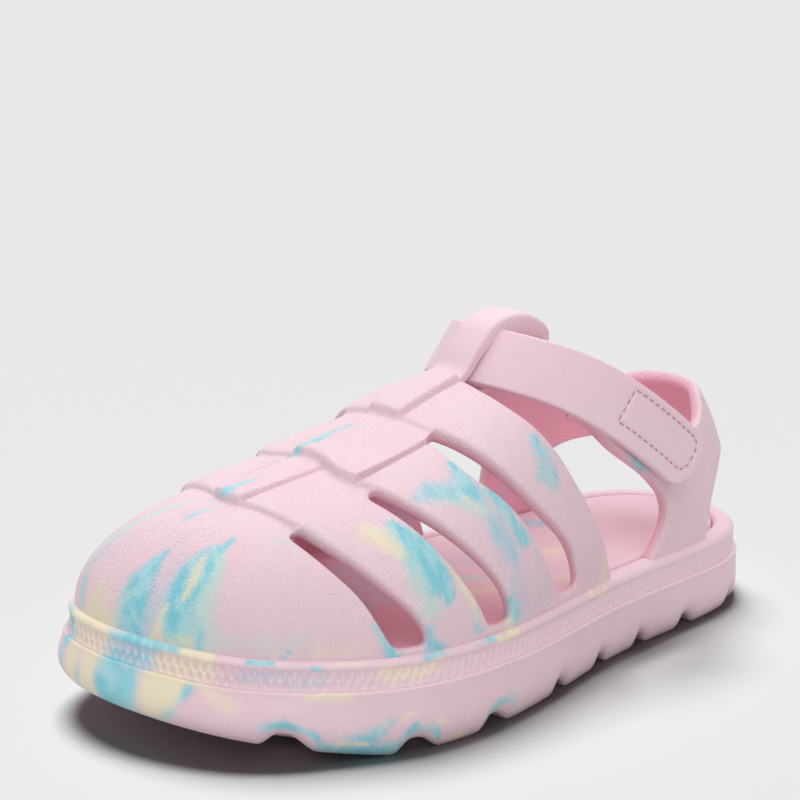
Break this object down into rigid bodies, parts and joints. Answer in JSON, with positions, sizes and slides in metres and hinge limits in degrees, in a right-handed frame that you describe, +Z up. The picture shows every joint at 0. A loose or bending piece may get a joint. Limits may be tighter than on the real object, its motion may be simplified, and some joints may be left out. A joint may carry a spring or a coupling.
{
  "type": "beach sandal",
  "caption": "Child's moulded foam beach sandal for the left foot, with a closed toe, woven cross straps, a keeper loop, an ankle strap with a tab and an open back under a heel band.",
  "frame": {"origin": "on the ground, at the centre of the sole's outline seen from above", "axes": "+X to the toe, +Y to the lateral side, which is the wearer's left, +Z up"},
  "size_m": [0.1841, 0.083, 0.0836],
  "materials": {
    "sole": "matte foam, marbled at the toe",
    "upper": "matte foam with a fine grain, marbled at the front",
    "insole": "matte foam",
    "ankle_strap": "smooth matte foam with a sewn outline",
    "hook_pad": "hook tape"
  },
  "bodies": {
    "root": {"sole": "sole", "upper": "upper", "insole": "insole", "ankle_strap": "ankle_strap", "hook_pad": "hook_pad"}
  },
  "joints": []
}
